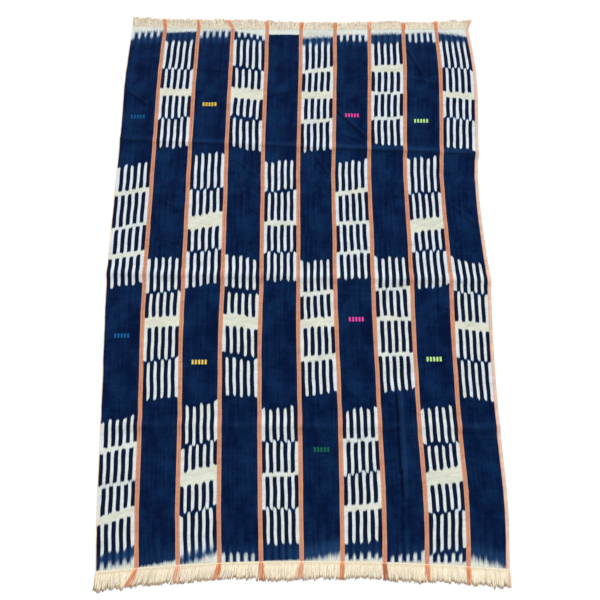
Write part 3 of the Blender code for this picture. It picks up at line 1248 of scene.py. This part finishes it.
    def bare_end(self, side: Side, places: DyePlaces) -> np.ndarray:
        """How far beyond the dye's edge at one end each place lies, in chart millimetres.

        Args:
            side: Which end.
            places: The places to read.

        Returns:
            The distance, below zero in the dye.
        """
        end = self.chart.end(side)
        bare = places.above(end.edge) * side.value
        if end.notch is not Notch.NONE:
            draw = np.random.default_rng(900 + self.number * 2 + side.value)
            number, beside = self.inside_columns(places.column, end.notch.value)
            beside = self.notch_scale * beside - self.notch_creep
            jitter = draw.uniform(-self.notch_jitter, self.notch_jitter, DYE_COLUMNS)[number]
            reach = (places.above(end.notch_to) - jitter) * side.value
            cut = DIAGONAL * (reach + beside - self.notch_taper)
            bare = np.maximum(bare, np.minimum(np.minimum(reach, beside), cut))
        return bare

    def wash_share(self, side: Side, places: DyePlaces) -> np.ndarray:
        """How strongly one end is washed out: most in line with the white notches or bars beside it.

        Args:
            side: Which end.
            places: The places to read.

        Returns:
            The share, 1 where neither is near that end.
        """
        end = self.chart.end(side)
        if end.notch is Notch.NONE:
            at_top = side is Side.FAR
            block = self.chart.upper if at_top else self.chart.lower
            row, level = (0, block.top[0]) if at_top else (len(block.leans) - 1, block.bottom[0])
            close = smooth(np.abs(between(end.edge, places.share) - level), *self.in_step)
            white = (block.first.value + row) % 2
        else:
            close, white = np.ones_like(places.share), end.notch.value
        in_line = 0.5 + 0.5 * np.cos(np.pi * (places.column - 0.5 - white))
        return 1.0 - self.wash_contrast * close * (1.0 - in_line)

    def bleached(self, from_left: np.ndarray, right: float) -> np.ndarray:
        """How far the orange has bleached: only along the cloth's own two sides.

        Args:
            from_left: How far each place lies from the strip's left side, in millimetres.
            right: The width of the right selvedge.

        Returns:
            The share at each place.
        """
        if self.number == 1:
            return self.left_bleach * smooth(from_left, *self.left_pale)
        if self.number == STRIP_COUNT:
            past_field = from_left - (self.width - right)
            return self.right_bleach * smooth(past_field, *self.right_pale)
        return np.zeros_like(from_left)

    def dye(self, across: np.ndarray, y: np.ndarray) -> dict[str, np.ndarray]:
        """Works out the dye values that the material reads.

        Args:
            across: The place across the strip, from 0 to 1.
            y: The place along the cloth, in chart millimetres.

        Returns:
            The values by name.
        """
        left, right = self.selvedges()
        from_left = across * self.width
        inset = np.minimum(from_left - left, self.width - right - from_left)
        share = np.clip((from_left - left) / (self.width - left - right), 0.0, 1.0)
        places = DyePlaces(share, y)
        undyed = np.full_like(y, -self.dye_reach)
        barred = np.zeros_like(y)
        warm = self.warmth + self.near_half_warmth * smooth(y, *self.near_half)
        for block in (self.chart.upper, self.chart.lower):
            undyed = np.maximum(undyed, self.bars(block, places))
            below_top = smooth(-places.above(block.top), *self.bar_edge)
            barred = np.maximum(barred, below_top * smooth(places.above(block.bottom), *self.bar_edge))
            for join in block.joins:
                away = np.abs(places.above(join.level))
                if join.white <= 0:
                    barred = barred * smooth(away, *self.link)
                if join.white > self.least_warm_join:
                    wider = self.wide_join_warmth * (join.white - self.least_warm_join)
                    strength = min(self.most_warmth, self.join_warmth + wider)
                    in_band = smooth(away / join.white, *self.warm_band)
                    warm = np.maximum(warm, strength * in_band)
        fray = np.full_like(y, self.bar_fray)
        washed = np.zeros_like(y)
        for side in Side:
            end = self.chart.end(side)
            undyed = np.maximum(undyed, self.bare_end(side, places))
            inwards = -places.above(end.edge) * side.value
            fray = fray + (end.fray - self.bar_fray) * smooth(inwards, *self.end_fray)
            washed = washed + end.washed * smooth(inwards, *self.wash) * self.wash_share(side, places)
            end_warmth = self.near_end_warmth if side is Side.NEAR else self.far_end_warmth
            warm = np.maximum(warm, end_warmth * smooth(inwards, *self.warm_end))
        return {
            "undyed": np.clip(undyed, -self.dye_reach, self.dye_reach),
            "washed": washed,
            "fray": fray,
            "barred": barred,
            "inset": inset,
            "warm": warm,
            "bleached": self.bleached(from_left, right),
        }

    def lay_maps(
        self, mesh: bpy.types.Mesh, across: np.ndarray, along: np.ndarray, face: np.ndarray
    ) -> None:
        """Gives the mesh its thread map, and a compact map for baking.

        Args:
            mesh: The strip's mesh.
            across: Each point's place across the strip, from 0 to 1.
            along: Each point's row, counted from the near hem.
            face: Whether each point is on the face and not the back.
        """
        corners = fetch(mesh.loops, "vertex_index", 1, int)[:, 0]
        warp = along[corners] / self.rows * self.thread_length
        threads = np.stack([across[corners] * self.width * MILLIMETRE, warp], axis=1)
        quads = corners.reshape(-1, 4)
        rows = self.rows // self.map_parts
        part = np.minimum(along[quads].min(axis=1) // rows, self.map_parts - 1)
        is_back = ~face[quads].any(axis=1)
        cell = np.repeat(part + self.map_parts * is_back, 4)
        gap = self.map_gap
        u = (cell + gap + (1 - 2 * gap) * across[corners]) / (2 * self.map_parts)
        v = gap / 2 + (1 - gap) * (along[corners] - np.repeat(part, 4) * rows) / rows
        for name, pairs in (("threads", threads), ("OFBake", np.stack([u, v], axis=1))):
            layer = mesh.uv_layers.new(name=name)
            layer.data.foreach_set("uv", np.ascontiguousarray(pairs, dtype=np.float32).ravel())

    def build(self, material: bpy.types.Material) -> bpy.types.Object:
        """Builds and dresses the strip.

        Args:
            material: The ikat finish.

        Returns:
            The strip's piece.
        """
        places = self.columns()
        mesh = self.blank(len(places) - 1)
        grid = fetch(mesh.vertices, "co", 3)
        across = places[np.rint((grid[:, 0] + 1) / 2 * (len(places) - 1)).astype(int)]
        along = np.rint((grid[:, 1] + 1) / 2 * self.rows).astype(int)
        face = grid[:, 2] > 0.5
        x, y = self.outline.spot(across, along / self.rows)
        from_seam = np.minimum(across, 1 - across) * self.width
        thin = self.seam_dip * (smooth(from_seam, self.seam_round, 0.0) + self.hem_dip * (along == 0))
        z = self.relief.lift(x, y) + np.where(face, CLOTH_THICKNESS - thin, thin * self.back_dip)
        mesh.vertices.foreach_set("co", np.stack([x, y, z], axis=1).astype(np.float32).ravel())
        values = self.dye(across, (y - CHART_SHIFT.y) / MILLIMETRE)
        # Paler dye on the fold ridges
        values["ridge_paling"] = self.ridge_paling_strength * smooth(self.relief.lift(x, y), *self.ridge_paling)
        # The painted crease shadows, above zero, and the painted crease highlights, below zero
        values["line"] = self.relief.line(x, y)
        self.lay_maps(mesh, across, along, face)
        piece = make_piece(mesh.name, mesh, values, material)
        cut_ends = np.abs(fetch(mesh.polygons, "normal", 3)[:, 1]) > self.end_facing
        mesh.polygons.foreach_set("use_smooth", ~cut_ends)
        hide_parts(f"strip_{self.number:02d}")
        return piece


@dataclass(frozen=True)
class Tuft:
    """The orange warp at one seam: how far right its tips lie, how wide they spread, and its tint."""

    lean: float = 0.0
    width: float = 0.010
    pale: float = 0.0


@dataclass
class YarnFringe:
    """The loose warp yarns at one end of a strip: an even mat that parts into clumps at its tips.

    Its sizes are in metres. The orange edge, its jitter and the outer shift are in millimetres.
    """

    number: int
    side: Side
    outline: CutOutline
    tufts: dict[int, Tuft]
    yarns: int = 200
    radius: float = 0.00064
    sections: tuple[float, ...] = (-0.3, -0.1, 0.1, 0.3)
    # The CAD locks, and the finer clumps of yarn
    locks: int = 11
    tip_height: float = 0.0008
    clumps: int = 23
    gather: float = 0.5
    clump_shift: float = 0.0007
    clump_length: Pair = (0.93, 1.03)
    # How each yarn lies: its place, its length, its bend, and how it thins, curves and sags
    side_gap: float = 0.006
    thinning: float = 0.2
    curve: float = 1.3
    sag: float = 0.65
    yarn_shift: float = 0.35
    tip_shift: float = 0.0004
    yarn_length: Pair = (0.97, 1.01)
    bend: float = 0.0005
    # The yarns below the others, and the heights of the layers and of the roots in the hem
    under_share: float = 0.36
    under_shorter: float = 0.05
    layers: Pair = (0.0003, 0.0013)
    orange_layer: float = 0.0006
    tuck: float = 0.004
    root_height: float = 0.00062
    root_reach: float = 0.28
    # The orange warp beside each seam
    orange_edge: Pair = (6.0, 5.0)
    outer_shift: float = 4.4
    orange_jitter: float = 0.5
    tuft_reach: float = 0.025
    tuft_base: float = 0.0116
    tuft_shift: float = 0.0015

    def lock_tips(self) -> np.ndarray:
        """Where the CAD locks end, one row of x and y for each, from left to right.

        Returns:
            The middle of each lock's tip.
        """
        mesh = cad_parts[f"{self.side.word}_fringe_{self.number:02d}"].data
        raised = {
            (round(vert.co.x, 6), round(vert.co.y, 6))
            for vert in mesh.vertices
            if abs(vert.co.z - self.tip_height) < 2e-5
        }
        corners = np.array(sorted(raised))
        return corners.reshape(self.locks, 2, 2).mean(axis=1)

    def yarn_shape(self) -> bmesh.types.BMesh:
        """One short yarn: a four-sided closed rod with a few rings to bend at.

        Returns:
            The rod, one unit long, standing on its end.
        """
        bm = bmesh.new()
        bmesh.ops.create_cone(bm, cap_ends=True, segments=4, radius1=0.5, radius2=0.5, depth=1.0)
        for level in self.sections:
            geom = bm.verts[:] + bm.edges[:] + bm.faces[:]
            middle, up = (0.0, 0.0, level), (0.0, 0.0, 1.0)
            bmesh.ops.bisect_plane(bm, geom=geom, dist=1e-6, plane_co=middle, plane_no=up)
        return bm

    def build(self, material: bpy.types.Material) -> bpy.types.Object:
        """Builds and dresses the fringe.

        Args:
            material: The yarn finish.

        Returns:
            The fringe's piece.
        """
        draw = np.random.default_rng(40 + self.number * 2 + (self.side is Side.FAR))
        bank = MeshBank(f"{self.side.word}_yarns_{self.number:02d}", self.yarn_shape(), self.yarns)
        tips = self.lock_tips()

        shift = draw.uniform(-self.yarn_shift, self.yarn_shift, self.yarns)
        place = (np.arange(self.yarns) + 0.5 + shift) / self.yarns
        place = self.side_gap + (1 - 2 * self.side_gap) * place
        along_strip = np.full(self.yarns, 0.0 if self.side is Side.NEAR else 1.0)
        root_x, root_y = self.outline.spot(place, along_strip)
        lock = np.minimum((place * self.locks).astype(int), self.locks - 1)
        in_lock = place * self.locks - lock - 0.5
        under = (draw.random(self.yarns) < self.under_share).astype(float)
        clump = np.minimum((place * self.clumps).astype(int), self.clumps - 1)
        in_clump = (place * self.clumps - clump - 0.5) * STRIP_WIDTH / self.clumps
        shift = draw.normal(0.0, self.clump_shift, self.clumps)[clump]
        tip_x = tips[lock, 0] + in_lock * STRIP_WIDTH / self.locks
        tip_x = tip_x + draw.normal(0.0, self.tip_shift, self.yarns)
        clumped = (shift - in_clump * self.gather) * (1 - under)
        reach = (tips[lock, 1] - root_y) * draw.uniform(*self.clump_length, self.clumps)[clump]
        reach = reach * draw.uniform(*self.yarn_length, self.yarns) * (1.0 - self.under_shorter * under)
        from_side = np.minimum(place, 1 - place) * STRIP_WIDTH / MILLIMETRE
        from_side = from_side + self.outer_shift * ((self.number == 1) & (place < 0.5))
        orange = smooth(from_side + draw.normal(0.0, self.orange_jitter, self.yarns), *self.orange_edge)
        pale = np.zeros(self.yarns)
        for seam, edge in ((self.number - 1, 0.0), (self.number, 1.0)):
            tuft = self.tufts.get(seam, Tuft())
            seam_x = self.outline.spot(np.array([edge]), along_strip[:1])[0][0]
            at_edge = orange * (np.abs(place - edge) < 0.5)
            nearness = np.exp(-(((root_x - seam_x) / self.tuft_reach) ** 2))
            spread = (root_x - seam_x) / self.tuft_base * tuft.width
            spread = spread + draw.normal(0.0, self.tuft_shift, self.yarns)
            gathered = seam_x + tuft.lean + spread
            tip_x = tip_x + tuft.lean * nearness
            tip_x = tip_x + (gathered - tip_x) * at_edge
            clumped = clumped * (1 - at_edge)
            pale = pale + tuft.pale * at_edge
        bend = draw.normal(0.0, self.bend, self.yarns)
        layer = draw.uniform(*self.layers, self.yarns) * (1 - under) + self.orange_layer * orange
        shade = draw.uniform(0.0, 1.0, self.yarns)

        i = bank.number
        t = bank.local[:, 2] + 0.5
        thickness = self.radius * 2 * (1.0 - self.thinning * t**2)
        x = root_x[i] + (tip_x[i] - root_x[i]) * t**self.curve + bend[i] * np.sin(np.pi * t)
        x = x + clumped[i] * smooth(t, 0.4, 1.0)
        y = root_y[i] + reach[i] * t - self.side.value * self.tuck * (1.0 - t)
        resting = thickness / 2 + layer[i] * (1.0 - self.sag + self.sag * np.sin(np.pi * t))
        past_root = smooth(t, 0.0, self.root_reach)
        z = resting * past_root + self.root_height * (1.0 - past_root)
        x, z = x + bank.local[:, 0] * thickness, z + bank.local[:, 1] * thickness
        points = np.stack([x, y, z], axis=1)
        values = {"along": t, "yarn": shade[i], "under": under[i], "orange": orange[i], "pale": pale[i]}
        # Full painted root shade at the near end and little at the far end, which the far end's greyer
        # tint also reads
        values["root_shade_strength"] = np.full_like(t, 1.0 if self.side is Side.NEAR else 0.1)
        piece = bank.settle(points, values, material)
        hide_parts(f"{self.side.word}_fringe_{self.number:02d}")
        return piece


def stitch_shape() -> bmesh.types.BMesh:
    """One stitch: a small closed bead, which is stretched where it is put.

    Returns:
        The bead, one unit across.
    """
    bm = bmesh.new()
    bmesh.ops.create_uvsphere(bm, u_segments=6, v_segments=4, radius=0.5)
    return bm


@dataclass
class StitchRun:
    """Stitches laid on the cloth, each from its own middle, length, width and turn."""

    name: str
    relief: ClothRelief
    length: float
    width: float
    height: float

    def build(
        self,
        x: np.ndarray,
        y: np.ndarray,
        turn: np.ndarray,
        above: float,
        slot: str,
        material: bpy.types.Material,
    ) -> bpy.types.Object:
        """Builds and dresses the run.

        Args:
            x: The stitches' middles across the cloth.
            y: Their middles along it.
            turn: How far each is turned from lying across the cloth, in radians.
            above: The middle's height over the cloth's back.
            slot: The name of a material slot, which is not used.
            material: The thread's finish.

        Returns:
            The run's piece.
        """
        bank = MeshBank(self.name, stitch_shape(), len(x))
        i = bank.number
        along = bank.local[:, 0] * self.length
        side = bank.local[:, 1] * self.width
        place_x = x[i] + along * np.cos(turn[i]) - side * np.sin(turn[i])
        place_y = y[i] + along * np.sin(turn[i]) + side * np.cos(turn[i])
        ground = self.relief.lift(place_x, place_y)
        points = np.stack([place_x, place_y, ground + above + bank.local[:, 2] * self.height], axis=1)
        piece = bank.settle(points, {}, material)
        return piece


@dataclass
class SeamSewing:
    """The whipped stitches that join two strips side by side."""

    seam: int
    left_strip: CutOutline
    right_strip: CutOutline
    relief: ClothRelief
    pitch: float = 0.0046
    past_rows: float = 0.008
    place_jitter: float = 0.0004
    turn: float = 24.0
    turn_jitter: float = 5.0
    length: float = 0.0036
    width: float = 0.0009
    height: float = 0.0008
    sunk: float = 0.0002

    def build(self, material: bpy.types.Material) -> bpy.types.Object:
        """Sews the seam with thread of one finish.

        Args:
            material: The thread's finish.

        Returns:
            The seam's piece.
        """
        draw = np.random.default_rng(70 + self.seam)
        rows = self.left_strip.rows
        y = np.arange(rows[0] - self.past_rows, rows[-1] + self.past_rows, self.pitch)
        y = y + draw.normal(0.0, self.place_jitter, len(y))
        left = CutOutline.read(y, rows, self.left_strip.right)
        right = CutOutline.read(y, self.right_strip.rows, self.right_strip.left)
        turn = np.radians(self.turn + draw.normal(0.0, self.turn_jitter, len(y)))
        name = f"seam_stitches_{self.seam}"
        run = StitchRun(name, self.relief, self.length, self.width, self.height)
        above = CLOTH_THICKNESS - self.sunk
        return run.build((left + right) / 2, y, turn, above, "orange_cotton", material)


@dataclass
class HemSewing:
    """The line of white running stitches along one hem, across all the strips."""

    side: Side
    outlines: list[CutOutline]
    relief: ClothRelief
    per_strip: int = 12
    inside: float = 0.0012
    place_jitter: float = 0.0002
    length: float = 0.0096
    width: float = 0.0014
    near_height: float = 0.0012
    far_height: float = 0.0006
    raised: float = 0.0001

    def build(self, material: bpy.types.Material) -> bpy.types.Object:
        """Sews the hem with thread of one finish.

        Args:
            material: The thread's finish.

        Returns:
            The hem's piece.
        """
        draw = np.random.default_rng(90 + self.side.value)
        end = 0.0 if self.side is Side.NEAR else 1.0
        across = (np.arange(self.per_strip) + 0.5) / self.per_strip
        spots = [outline.spot(across, np.full(self.per_strip, end)) for outline in self.outlines]
        x = np.concatenate([spot[0] for spot in spots])
        y = np.concatenate([spot[1] for spot in spots]) - self.side.value * self.inside
        y = y + draw.normal(0.0, self.place_jitter, len(y))
        turn = np.arctan(np.gradient(y, x))
        height = self.near_height if self.side is Side.NEAR else self.far_height
        name = f"{self.side.word}_hem_stitches"
        run = StitchRun(name, self.relief, self.length, self.width, height)
        return run.build(x, y, turn, CLOTH_THICKNESS + self.raised, "undyed_cotton", material)


@dataclass
class BrocadeMark:
    """One small brocade mark: five little blocks, each of short weft floats laid side by side."""

    number: int
    middle: Pair
    relief: ClothRelief
    blocks: int = 5
    floats: int = 9
    block_pitch: float = 0.0086
    float_pitch: float = 0.0013
    across_jitter: float = 0.00015
    along_jitter: float = 0.0001
    turn_jitter: float = 0.03
    length: float = 0.0072
    width: float = 0.0015
    height: float = 0.0011
    raised: float = 0.0002

    def build(self, material: bpy.types.Material) -> bpy.types.Object:
        """Weaves the mark in with floss of one finish.

        Args:
            material: The floss's finish.

        Returns:
            The mark's piece.
        """
        draw = np.random.default_rng(200 + self.number)
        block, step = np.divmod(np.arange(self.blocks * self.floats), self.floats)
        across = (block - (self.blocks - 1) / 2) * self.block_pitch
        across = across + draw.normal(0.0, self.across_jitter, len(block))
        up = (step - (self.floats - 1) / 2) * self.float_pitch
        up = up + draw.normal(0.0, self.along_jitter, len(block))
        x = self.middle[0] * MILLIMETRE + CHART_SHIFT.x + across
        y = self.middle[1] * MILLIMETRE + CHART_SHIFT.y + up
        turn = draw.normal(0.0, self.turn_jitter, len(block))
        name = f"brocade_mark_{self.number}"
        run = StitchRun(name, self.relief, self.length, self.width, self.height)
        return run.build(x, y, turn, CLOTH_THICKNESS + self.raised, "bright_cotton", material)


class Floss(Enum):
    """The colours of the brocade marks."""

    BLUE = ThreadFinish("blue_floss", srgb(24, 108, 168), srgb(14, 78, 132))
    YELLOW = ThreadFinish("yellow_floss", srgb(252, 228, 112), srgb(226, 190, 70))
    PINK = ThreadFinish("pink_floss", srgb(248, 92, 190), srgb(214, 66, 158))
    LIME = ThreadFinish("lime_floss", srgb(212, 255, 168), srgb(160, 232, 120))
    GREEN = ThreadFinish("green_floss", srgb(28, 116, 86), srgb(16, 86, 66))


# The orange warp at each seam, counted from the cloth's left side
NEAR_TUFTS = {
    0: Tuft(0.0, 0.004, 0.9),
    1: Tuft(-0.020, 0.021, 0.3),
    2: Tuft(-0.004, 0.015, 0.6),
    3: Tuft(-0.008, 0.020, -0.15),
    4: Tuft(0.0, 0.016, -0.3),
    5: Tuft(-0.007, 0.017, 0.5),
    6: Tuft(-0.004, 0.009, 0.1),
    7: Tuft(0.003, 0.010, -0.7),
    8: Tuft(0.0, 0.013, 0.1),
    9: Tuft(0.0, 0.005, 0.0),
    10: Tuft(-0.001, 0.008, 0.75),
}
FAR_TUFTS = {
    0: Tuft(0.0, 0.004, 0.95),
    1: Tuft(-0.002, 0.010, 0.3),
    3: Tuft(-0.018, 0.012, 0.3),
    4: Tuft(-0.002, 0.010, 0.2),
    10: Tuft(0.012, 0.013, 0.4),
}
TUFTS = {Side.NEAR: NEAR_TUFTS, Side.FAR: FAR_TUFTS}

MARKS = (
    (Floss.BLUE, (-470.0, 461.0)),
    (Floss.BLUE, (-477.0, -170.0)),
    (Floss.YELLOW, (-265.0, 500.0)),
    (Floss.YELLOW, (-269.0, -240.0)),
    (Floss.PINK, (147.0, 465.0)),
    (Floss.PINK, (147.0, -127.0)),
    (Floss.LIME, (346.0, 448.0)),
    (Floss.LIME, (350.0, -233.0)),
    (Floss.GREEN, (51.0, -462.0)),
)


@dataclass
class Studio:
    """The pale floor, the soft light and the camera."""

    floor_size: float = 14.0
    floor_drop: float = 0.0002
    lens: float = 27.0
    sensor: float = 36.0
    camera_place: tuple[float, float, float] = (-0.0007, -0.2648, 1.1972)
    camera_turn: tuple[float, float, float] = (9.273, -0.135, -0.064)
    sky_strength: float = 0.44
    key_strength: float = 2.75
    key_turn: tuple[float, float, float] = (-40.0, -18.0, 0.0)
    key_spread: float = 35.0

    def lay_floor(self) -> None:
        """Lays the floor just under the cloth."""
        bm = bmesh.new()
        bmesh.ops.create_grid(bm, x_segments=4, y_segments=4, size=self.floor_size / 2)
        bmesh.ops.translate(bm, verts=bm.verts[:], vec=(0.0, 0.0, -self.floor_drop))
        mesh = bpy.data.meshes.new("floor")
        bm.to_mesh(mesh)
        bm.free()
        mesh.materials.append(FloorFinish().material())
        floor = bpy.data.objects.new("floor", mesh)
        bpy.context.scene.collection.objects.link(floor)

    def light(self) -> None:
        """Sets the even sky and one broad soft key light."""
        scene = bpy.context.scene
        scene.world = bpy.data.worlds.new("studio")
        scene.world.use_nodes = True
        sky = scene.world.node_tree.nodes["Background"]
        sky.inputs["Color"].default_value = (1.0, 1.0, 1.0, 1.0)
        sky.inputs["Strength"].default_value = self.sky_strength
        lamp = bpy.data.lights.new("soft_key", "SUN")
        lamp.energy = self.key_strength
        lamp.angle = math.radians(self.key_spread)
        key = bpy.data.objects.new("soft_key", lamp)
        key.rotation_euler = [math.radians(turn) for turn in self.key_turn]
        scene.collection.objects.link(key)
        scene.view_settings.view_transform = "Standard"

    def set_camera(self) -> None:
        """Stands the camera where the photograph was taken from."""
        lens = bpy.data.cameras.new("view")
        lens.lens = self.lens
        lens.sensor_width = self.sensor
        camera = bpy.data.objects.new("view", lens)
        camera.location = self.camera_place
        camera.rotation_euler = [math.radians(turn) for turn in self.camera_turn]
        bpy.context.scene.collection.objects.link(camera)
        bpy.context.scene.camera = camera


def clear_start_scene() -> None:
    """Removes the objects that a new file starts with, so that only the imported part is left."""
    for name in ("Cube", "Light", "Camera"):
        obj = bpy.data.objects.get(name)
        if obj is not None:
            bpy.data.objects.remove(obj, do_unlink=True)


def main() -> None:
    """Builds the dressed cloth, piece by piece."""
    logging.basicConfig(level=logging.INFO, format="%(message)s")
    clear_start_scene()
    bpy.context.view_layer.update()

    studio = Studio()
    studio.set_camera()
    studio.lay_floor()
    studio.light()

    relief = ClothRelief()
    outlines = [CutOutline(f"strip_{number:02d}") for number in range(1, STRIP_COUNT + 1)]
    ikat = IkatFinish().material()
    yarn = YarnFinish().material()
    orange_thread = ThreadFinish("orange_thread", srgb(222, 152, 122), srgb(188, 112, 82)).material()
    white_thread = ThreadFinish("white_thread", srgb(253, 253, 248), srgb(236, 234, 222)).material()

    for number, (outline, chart) in enumerate(zip(outlines, CHARTS), start=1):
        strip = WovenStrip(number, outline, relief, chart).build(ikat)
        fringes = [YarnFringe(number, side, outline, TUFTS[side]).build(yarn) for side in Side]
        LOG.info("%s with %s", strip.name, " and ".join(fringe.name for fringe in fringes))

    for seam in range(1, STRIP_COUNT):
        sewing = SeamSewing(seam, outlines[seam - 1], outlines[seam], relief)
        LOG.info("%s", sewing.build(orange_thread).name)
    for side in Side:
        LOG.info("%s", HemSewing(side, outlines, relief).build(white_thread).name)

    floss = {colour: colour.value.material() for colour in Floss}
    for number, (colour, middle) in enumerate(MARKS, start=1):
        LOG.info("%s", BrocadeMark(number, middle, relief).build(floss[colour]).name)

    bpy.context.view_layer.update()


if __name__ == "__main__":
    main()
